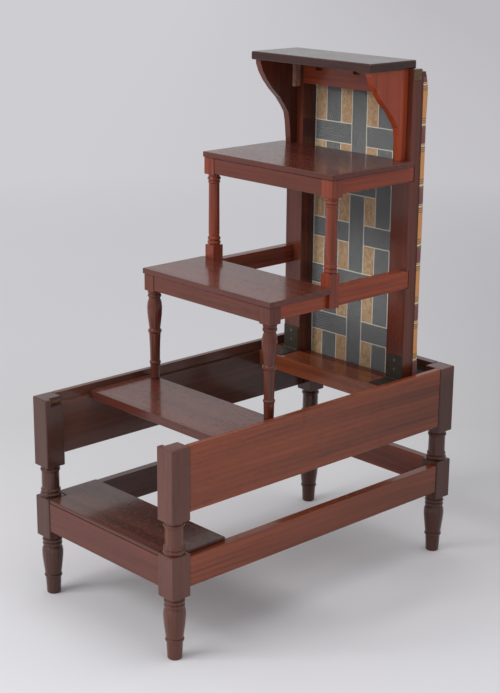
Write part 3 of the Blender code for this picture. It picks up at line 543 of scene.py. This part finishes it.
def banded_weave(name):
    """Charcoal bands over a tan ground, with stitches along the edges of whichever band lies on top.
    Each is found by the distance from the middle line of the nearest column and row."""
    material, shader, place = finish_of(name)
    x, z = axes_of(place, (0, 2))
    column, row = (x - COLUMN_MIDDLE) / COLUMN_PITCH, (ROW_MIDDLE - z) / ROW_PITCH
    near_column, near_row = place.sum("ROUND", column), place.sum("ROUND", row)
    from_column = place.sum("ABSOLUTE", column - near_column) * COLUMN_PITCH
    from_row = place.sum("ABSOLUTE", row - near_row) * ROW_PITCH
    below = z < TOP_ROW
    in_column, in_row = from_column < COLUMN_HALF, (from_row < ROW_HALF) * below
    row_over = place.sum("FLOORED_MODULO", near_column + near_row, 2.0)
    row_clear, column_clear = 1.0 - in_column * (1.0 - row_over), 1.0 - in_row * row_over
    fuzz, clouds = noise(place, 210.0, 4.0, 0.75), noise(place, 21.0, 2.0)
    twill, charcoal = charcoal_yarn(x, z, fuzz, in_row * row_clear)
    threads, tan = tan_ground(place, fuzz, clouds)
    dark = place.sum("MAXIMUM", in_column, in_row)
    colour = mixed(dark, tan, charcoal)
    column_line = (place.sum("ABSOLUTE", from_column - COLUMN_HALF) < STITCH_WIDTH) * column_clear
    row_line = (place.sum("ABSOLUTE", from_row - ROW_HALF) < STITCH_WIDTH) * below * row_clear
    stitches = place.sum("MAXIMUM", column_line * dashes(z), row_line * dashes(x))
    colour = mixed(stitches, colour, seen(246, 240, 222))
    colour = mixed(spread(clouds, 0.35, 0.75, 0.0, 0.10), colour, seen(70, 58, 50))
    height = twill * dark * 0.7 + threads * (1.0 - dark) * 0.4 + fuzz * 0.5 + stitches * 0.9
    wear(material, shader, {
        "Base Color": colour, "Roughness": 0.92, "Normal": bumped(height, 0.6, 0.0006),
        "Specular IOR Level": 0.2})
    return material


dress(banded, banded_weave("banded_weave"))
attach(banded, "steps")
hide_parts("webbing")

# %% [markdown]
# The cushion is a thin pad of stuffing on the seat board, under a striped
# cover that is drawn over its edges and folded at the corners. It could be a
# rounded box, but real stuffing swells where nothing holds it and is pulled
# flat where it is tacked. So a slightly slack form is made first: a rounded
# outline whose sides draw in, carried along a profile from the middle of its
# flat face, round the edge and up to the crown.

# %% The slack cushion
cushion_low, cushion_high = [np.array(corner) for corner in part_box("cushion")]
CUSHION_EDGE, CORNER_POWER, DRAWN_IN = 0.0190, 22.0, 0.0012
FLAT_SHARE, ROUND_SHARE, CROWN_POWER = 0.985, 0.015, 3.2
SLACK_INSET, SLACK_EDGE, SLACK_CROWN = 0.0002, 0.0015, 0.80
print("room for the cushion", np.round(cushion_high - cushion_low, 4))


def super_ellipse(turn, power):
    """A rounded square of half side 1: the cosine and the sine of the turn, each to a small power."""
    c, s = np.cos(turn), np.sin(turn)
    return np.sign(c) * np.abs(c) ** (2 / power), np.sign(s) * np.abs(s) ** (2 / power)


def outline(turn, half_width, half_height):
    """A rounded rectangle about the origin, with the middle of each side drawn in."""
    x, z = super_ellipse(turn, CORNER_POWER)
    drawn_x = half_width - DRAWN_IN * (1 - z ** 4) * np.abs(x) ** 8
    drawn_z = half_height - DRAWN_IN * (1 - x ** 4) * np.abs(z) ** 8
    return x * drawn_x, z * drawn_z


def cushion_profile(edge, crown):
    """(share of the outline, depth) from the middle of the flat face, out, round the edge and back to
    the crown's middle."""
    flat = np.stack([np.linspace(0, FLAT_SHARE, 24), np.zeros(24)], axis=-1)
    bend = np.linspace(-0.5 * np.pi, 0.32 * np.pi, 14)
    side = np.stack([FLAT_SHARE + ROUND_SHARE * np.cos(bend), edge * (0.5 + 0.5 * np.sin(bend))], axis=-1)
    reach = np.linspace(side[-1, 0], 0, 32)[1:]
    rise = 1 - (reach / side[-1, 0]) ** CROWN_POWER
    top = side[-1, 1] + (edge + crown - side[-1, 1]) * rise
    return np.concatenate([flat[:-1], side, np.stack([reach, top], axis=-1)])


def sealed(name, points):
    """A grid of points closed upon itself: the doubled points at its seams and poles are merged and its
    faces turned outwards."""
    closed = np.concatenate([points, points[:, :1]], axis=1)
    piece = mesh_object(name, closed, grid_faces(closed.shape[0], closed.shape[1]))
    shell = bmesh.new()
    shell.from_mesh(piece.data)
    bmesh.ops.remove_doubles(shell, verts=shell.verts, dist=1e-6)
    bmesh.ops.recalc_face_normals(shell, faces=shell.faces)
    shell.to_mesh(piece.data)
    shell.free()
    return piece


def cushion_form(name, low, high, inset, edge, crown, turns=360):
    """The outline carried along the profile: each point is the centre plus the outline times its share,
    at its depth in Y."""
    middle = 0.5 * (low + high)
    turn = np.linspace(0, 2 * np.pi, turns, endpoint=False)
    x, z = outline(turn, *(0.5 * (high - low) - inset)[[0, 2]])
    profile = cushion_profile(edge, crown)
    share, depth = profile[:, :1], profile[:, 1:]
    points = np.stack([middle[0] + share * x, low[1] + depth + 0 * x, middle[2] + share * z], axis=-1)
    return sealed(name, points)


crown_full = float(cushion_high[1] - cushion_low[1]) - CUSHION_EDGE
cushion = cushion_form(
    "striped_cushion", cushion_low, cushion_high, SLACK_INSET, CUSHION_EDGE - SLACK_EDGE,
    crown_full * SLACK_CROWN)
print("slack form", len(cushion.data.vertices), "points")

# %% [markdown]
# Now the cover is blown up. The form is remeshed into even squares, the flat
# face is held where the cover is tacked to the board, and the Cloth modifier
# presses outwards from the inside with gravity off. No point may move more
# than eight millimetres, only a quarter of what it moves sideways is kept, and
# none may pass the board behind it. Afterwards the gathers of the folded
# corners are pressed in, because near the corner they are narrower than a
# square of the even mesh.

# %% Swell the cushion
SQUARE, PRESSURE, MOST_SWELL, BLOWN_FRAMES = 0.0060, 1.5, 0.0080, 20
SIDEWAYS_KEPT, TACKED, OFF_THE_BOARD = 0.25, 0.0045, 0.0004


def applied(piece):
    """Replaces a piece's mesh by what its modifiers make of it."""
    graph = bpy.context.evaluated_depsgraph_get()
    mesh = bpy.data.meshes.new_from_object(piece.evaluated_get(graph))
    piece.modifiers.clear()
    piece.data = mesh


def points_of(piece):
    """The points of a piece's mesh, one row for each."""
    found = np.empty(len(piece.data.vertices) * 3)
    piece.data.vertices.foreach_get("co", found)
    return found.reshape(-1, 3)


def evened(piece, square):
    """The same form in even squares, which Cloth and the subdivision both want."""
    even = piece.modifiers.new("even", "REMESH")
    even.mode, even.voxel_size = "VOXEL", square
    applied(piece)


def swell(piece, board):
    """Cloth pressure from frame 1 to the last. How far a point then goes is held to the most that it
    may, and to its side of the board."""
    start = points_of(piece)
    held = piece.vertex_groups.new(name="tacked")
    held.add(np.flatnonzero(start[:, 1] < board + TACKED).tolist(), 1.0, "REPLACE")
    cloth = piece.modifiers.new("cover", "CLOTH")
    cloth.settings.vertex_group_mass = "tacked"
    cloth.settings.use_pressure, cloth.settings.uniform_pressure_force = True, PRESSURE
    cloth.settings.effector_weights.gravity = 0
    cloth.settings.quality = 5
    cloth.point_cache.frame_start, cloth.point_cache.frame_end = 1, BLOWN_FRAMES
    for moment in range(1, BLOWN_FRAMES + 1):
        bpy.context.scene.frame_set(moment)
    applied(piece)
    bpy.context.scene.frame_set(1)
    moved = points_of(piece) - start
    length = np.linalg.norm(moved, axis=1, keepdims=True)
    moved *= np.minimum(1, MOST_SWELL / np.maximum(length, 1e-9))
    moved[:, (0, 2)] *= SIDEWAYS_KEPT
    placed = start + moved
    placed[:, 1] = np.maximum(placed[:, 1], board + OFF_THE_BOARD)
    piece.data.vertices.foreach_set("co", placed.ravel())
    return float(length.max())


evened(cushion, SQUARE)
print("most swell, metres:", round(swell(cushion, cushion_low[1]), 4))


# %% Finish the cushion's surface
PLEAT_DEPTH, PLEAT_REACH, PLEATS, PLEAT_CENTRE, PLEAT_RISE = 0.0011, 0.035, 9, 0.004, 0.004
LUMP_HEIGHT, LUMP_RISE = 0.0006, 0.01


def gathers(points, low, high):
    """Depth of the pleats: near each corner, a ripple of the angle about it that fades with distance,
    deepest at the edge."""
    near_x = np.minimum(points[:, 0] - low[0], high[0] - points[:, 0])
    near_z = np.minimum(points[:, 2] - low[2], high[2] - points[:, 2])
    fade = np.exp(-(np.hypot(near_x, near_z) / PLEAT_REACH) ** 2)
    angle = np.arctan2(near_z + PLEAT_CENTRE, near_x + PLEAT_CENTRE)
    risen = np.clip((points[:, 1] - low[1]) / PLEAT_RISE, 0, 1)
    return PLEAT_DEPTH * fade * np.cos(PLEATS * angle) * risen


def pressed(piece, low, high):
    """Gathers and a slow unevenness of the stuffing, both along each point's normal; then one
    subdivision."""
    points = points_of(piece)
    normals = np.empty(len(points) * 3)
    piece.data.vertices.foreach_get("normal", normals)
    lumps = LUMP_HEIGHT * np.sin(23 * points[:, 0] + 3) * np.sin(17 * points[:, 2] + 1)
    lumps *= np.clip((points[:, 1] - low[1]) / LUMP_RISE, 0, 1)
    points += normals.reshape(-1, 3) * (lumps - gathers(points, low, high))[:, None]
    points[:, 1] = np.maximum(points[:, 1], low[1] + OFF_THE_BOARD)
    piece.data.vertices.foreach_set("co", points.ravel())
    smooth = piece.modifiers.new("even", "SUBSURF")
    smooth.levels = smooth.render_levels = 1
    applied(piece)
    piece.data.polygons.foreach_set("use_smooth", np.ones(len(piece.data.polygons), bool))


pressed(cushion, cushion_low, cushion_high)
swollen = points_of(cushion)
print("cushion", len(cushion.data.polygons), "squares")
print("cushion box", np.round(swollen.min(0), 4), np.round(swollen.max(0), 4))

# %% [markdown]
# The cover is a ribbed stripe, gold and wine red with fine olive and cream
# lines between, and the stripes run straight across the seat. They could follow
# a map of the cloth, but the remeshed cushion has none, so they are read from
# the height on the standing board: one repeat every 130 mm. The colours are
# one ramp, and the ribs are a fine sine that lifts the surface.

# %% The striped cover
STRIPE_REPEAT, TEN_REPEATS, STRIPE_TOP, RIB = 0.1298, 1.298, 1.0584, 0.0021
GOLD, OLIVE, CREAM, WINE = seen(226, 156, 90), seen(126, 100, 62), seen(236, 212, 170), seen(122, 64, 62)
STRIPES = [
    (0.000, GOLD), (0.430, OLIVE), (0.448, GOLD), (0.466, OLIVE), (0.484, GOLD), (0.502, OLIVE),
    (0.522, CREAM), (0.556, OLIVE), (0.590, WINE), (0.850, CREAM), (0.862, WINE), (0.874, CREAM),
    (0.902, OLIVE), (0.920, GOLD), (0.938, OLIVE), (0.956, GOLD), (0.970, OLIVE), (0.985, GOLD),
]


def striped_cover(name):
    """The height picks the stripe; slow clouds fade it, a fine sine across makes the ribs, and a cloud
    of threads breaks them up."""
    material, shader, place = finish_of(name)
    x, y, z = axes_of(place, range(3))
    slack = (noise(place, 7.0, 1.0) - 0.5) * 0.006
    repeat = place.sum("FRACT", (STRIPE_TOP + TEN_REPEATS - z + slack) / STRIPE_REPEAT)
    ramp = place.node("ShaderNodeValToRGB", {"stops": STRIPES}, {0: repeat})
    ramp.socket.node.color_ramp.interpolation = "CONSTANT"
    threads = noise(place * (900.0, 900.0, 260.0), 1.0, 2.0)
    faded = noise(place, 16.0, 3.0)
    ribs = place.sum("SINE", (x + y) * (2.0 * math.pi / RIB)) * 0.5 + 0.5
    colour = mixed(spread(threads, 0.35, 0.70, 0.0, 0.35), ramp, seen(120, 86, 56))
    colour = mixed(spread(faded, 0.45, 0.75, 0.0, 0.15), colour, seen(196, 168, 136))
    bump = bumped(ribs * 0.5 + threads * 0.8, 0.5, 0.0005)
    wear(material, shader, {
        "Base Color": colour, "Roughness": 0.74, "Normal": bump, "Sheen Weight": 0.15,
        "Sheen Roughness": 0.5})
    return material


dress(cushion, striped_cover("striped_cover"))

# %% [markdown]
# The cover is turned over the edge of the pad's own frame, where it shows as a
# narrow striped line beside the stile. That strip is a piece of its own: a thin
# slot with rounded ends, carried once round the frame.

# %% The cover's turned edge
EDGE_WALL, EDGE_CORNER, EDGE_CLEARANCE = 0.0009, 40.0, 0.0003
EDGE_START, EDGE_END = 0.0042, 0.0035


def wrapped_edge(name, low, high, front, back, turns=320):
    """A sharp super-ellipse carried along a thin rounded slot that runs in Y from front to back."""
    x, z = super_ellipse(np.linspace(0, 2 * np.pi, turns, endpoint=False), EDGE_CORNER)
    around = np.linspace(0, 2 * np.pi, 17)
    out = EDGE_WALL * (0.5 + 0.5 * np.clip(1.6 * np.cos(around), -1, 1))[:, None]
    slot = np.clip(1.3 * np.sin(around), -1, 1)
    depth = (0.5 * (front + back) + 0.5 * (back - front) * slot)[:, None]
    middle, half = 0.5 * (low + high), 0.5 * (high - low)
    points = np.stack(
        [middle[0] + (half[0] + out) * x, depth + 0 * x, middle[2] + (half[2] + out) * z], axis=-1)
    return sealed(name, points)


pad_low, pad_high = np.array(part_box("pad_stile_left")[0]), np.array(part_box("pad_stile_right")[1])
edge_front, edge_back = float(pad_low[1]) + EDGE_START, float(pad_high[1]) + EDGE_END
turned_edge = wrapped_edge(
    "turned_edge", pad_low - EDGE_CLEARANCE, pad_high + EDGE_CLEARANCE, edge_front, edge_back)
dress(turned_edge, cushion.data.materials[0])
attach(turned_edge, "steps")
round_the_pad = float(2 * (pad_high - pad_low)[[0, 2]].sum())
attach(cushion, "steps")
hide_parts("cushion")

# %% [markdown]
# The chair stands on a pale seamless floor that fills the picture. A painted
# sweep could stand behind it, but then the back could not be seen, so the floor
# simply runs a long way out and the sky beyond it has the same grey. A wide
# soft lamp and a small one beside it stand off the left front, which leaves the
# right sides darker. A third hangs above, and the even sky fills the rest.

# %% Floor, sky and lamps
FLOOR_REACH, HAZE = 90.0, (1.5, 5.0)
TOWARD, ASIDE = (0.729, -0.685, 0.0), (0.685, 0.729, 0.0)
# Painted light and shade on the floor: lighter towards the camera, darker in a band just beyond the
# chair.
PAINTED_FLOOR_SHADES = [
    (0.00, seen(226, 225, 228)), (0.30, seen(218, 217, 220)), (0.50, seen(208, 207, 209)),
    (0.70, seen(218, 216, 218)), (0.85, seen(222, 221, 224)), (1.00, seen(234, 233, 237)),
]
SKY_COLOUR, SKY_STRENGTH, SKY_MIRRORED = (0.97, 0.98, 1.0, 1.0), 0.58, 0.60
LAMPS = [
    ("key", (-0.9, -3.6, 3.1), (0.0, 0.0, 0.45), 2.2, 84.0),
    ("window", (-1.7, -3.0, 2.7), (0.0, 0.0, 0.45), 0.5, 14.0),
    ("top", (0.6, 0.4, 3.6), (0.0, 0.0, 0.5), 2.4, 26.0),
]


def round_floor(reach, rings=24, turns=96):
    """A flat disc: rings of points whose distance grows as the square of their number, closed at the
    middle by a fan."""
    turn = np.linspace(0, 2 * np.pi, turns, endpoint=False)
    radius = reach * (np.arange(1, rings + 1) / rings)[:, None] ** 2
    ring = np.stack([radius * np.cos(turn), radius * np.sin(turn), 0 * radius * turn], axis=-1)
    ring = ring.reshape(-1, 3)
    points = np.concatenate([ring, [[0.0, 0.0, 0.0]]])
    inner = np.arange((rings - 1) * turns)
    beside = inner // turns * turns + (inner + 1) % turns
    quads = np.stack([inner, inner + turns, beside + turns, beside], axis=-1)
    first = np.arange(turns)
    fan = np.stack([np.full(turns, len(ring)), first, (first + 1) % turns], axis=-1)
    mesh = bpy.data.meshes.new("floor")
    mesh.from_pydata(points, [], quads.tolist() + fan.tolist())
    piece = bpy.data.objects.new("floor", mesh)
    bpy.context.scene.collection.objects.link(piece)
    return piece


def floor_paint(name):
    """Pale grey paper with painted light and shade by the position on the floor: lighter towards the
    camera, darker in a band just beyond the chair and darker still off to its right. Far off, what the
    camera and the polish see of it is a grey of its own light, painted darker towards the right."""
    material, shader, place = finish_of(name)
    toward, aside = dot(place, TOWARD), dot(place, ASIDE)
    paper = place.node("ShaderNodeValToRGB", {"stops": PAINTED_FLOOR_SHADES}, {0: spread(toward, -3.0, 1.0)})
    # Painted shade: a darker patch off to the right of the chair and beyond it.
    shaded = spread(aside, 0.2, 1.8, 0.0, 1.0) * spread(toward, 0.2, -1.0)
    paper = mixed(shaded, paper, seen(168, 166, 168))
    # Painted shade: far off, the floor's own light is darker towards the right.
    distance = mixed(spread(aside, -1.0, 2.5), seen(206, 205, 209), seen(188, 186, 190))
    looked_at = place.sum("MAXIMUM", *[place.node("ShaderNodeLightPath", output=ray) for ray in (0, 3)])
    hazed = looked_at * spread(length_of(place), *HAZE)
    glow = place.node("ShaderNodeEmission", {}, {"Color": distance})
    own = Wire(place.tree, shader.outputs[0])
    both = place.node("ShaderNodeMixShader", {}, {0: hazed, 1: own, 2: glow})
    material.node_tree.links.new(both.socket, material.node_tree.nodes["Material Output"].inputs[0])
    wear(material, shader, {"Base Color": paper, "Roughness": 0.85, "Specular IOR Level": 0.15})
    return material


floor = round_floor(FLOOR_REACH)
dress(floor, floor_paint("pale_paper"))
sky = bpy.data.worlds.new("sky")
bpy.context.scene.world = sky
sky.use_nodes = True
paint = sky.node_tree.nodes["Background"]
paint.inputs["Color"].default_value = SKY_COLOUR
mirrored = Wire(sky.node_tree).node("ShaderNodeLightPath", output=3)
strength = mirrored * (SKY_MIRRORED - SKY_STRENGTH) + SKY_STRENGTH
sky.node_tree.links.new(strength.socket, paint.inputs["Strength"])


def soft_lamp(name, place, aim, size, power):
    """A square area lamp turned from its place to the point it is aimed at."""
    lamp = bpy.data.objects.new(name, bpy.data.lights.new(name, "AREA"))
    bpy.context.scene.collection.objects.link(lamp)
    lamp.data.size, lamp.data.energy = size, power
    lamp.location = place
    back = np.array(place) - np.array(aim)
    tilt, turn = math.atan2(math.hypot(back[0], back[1]), back[2]), math.atan2(back[0], -back[1])
    lamp.rotation_euler = (tilt, 0.0, turn)


for lamp in LAMPS:
    soft_lamp(*lamp)
print("floor", FLOOR_REACH, "m out, sky", SKY_STRENGTH)
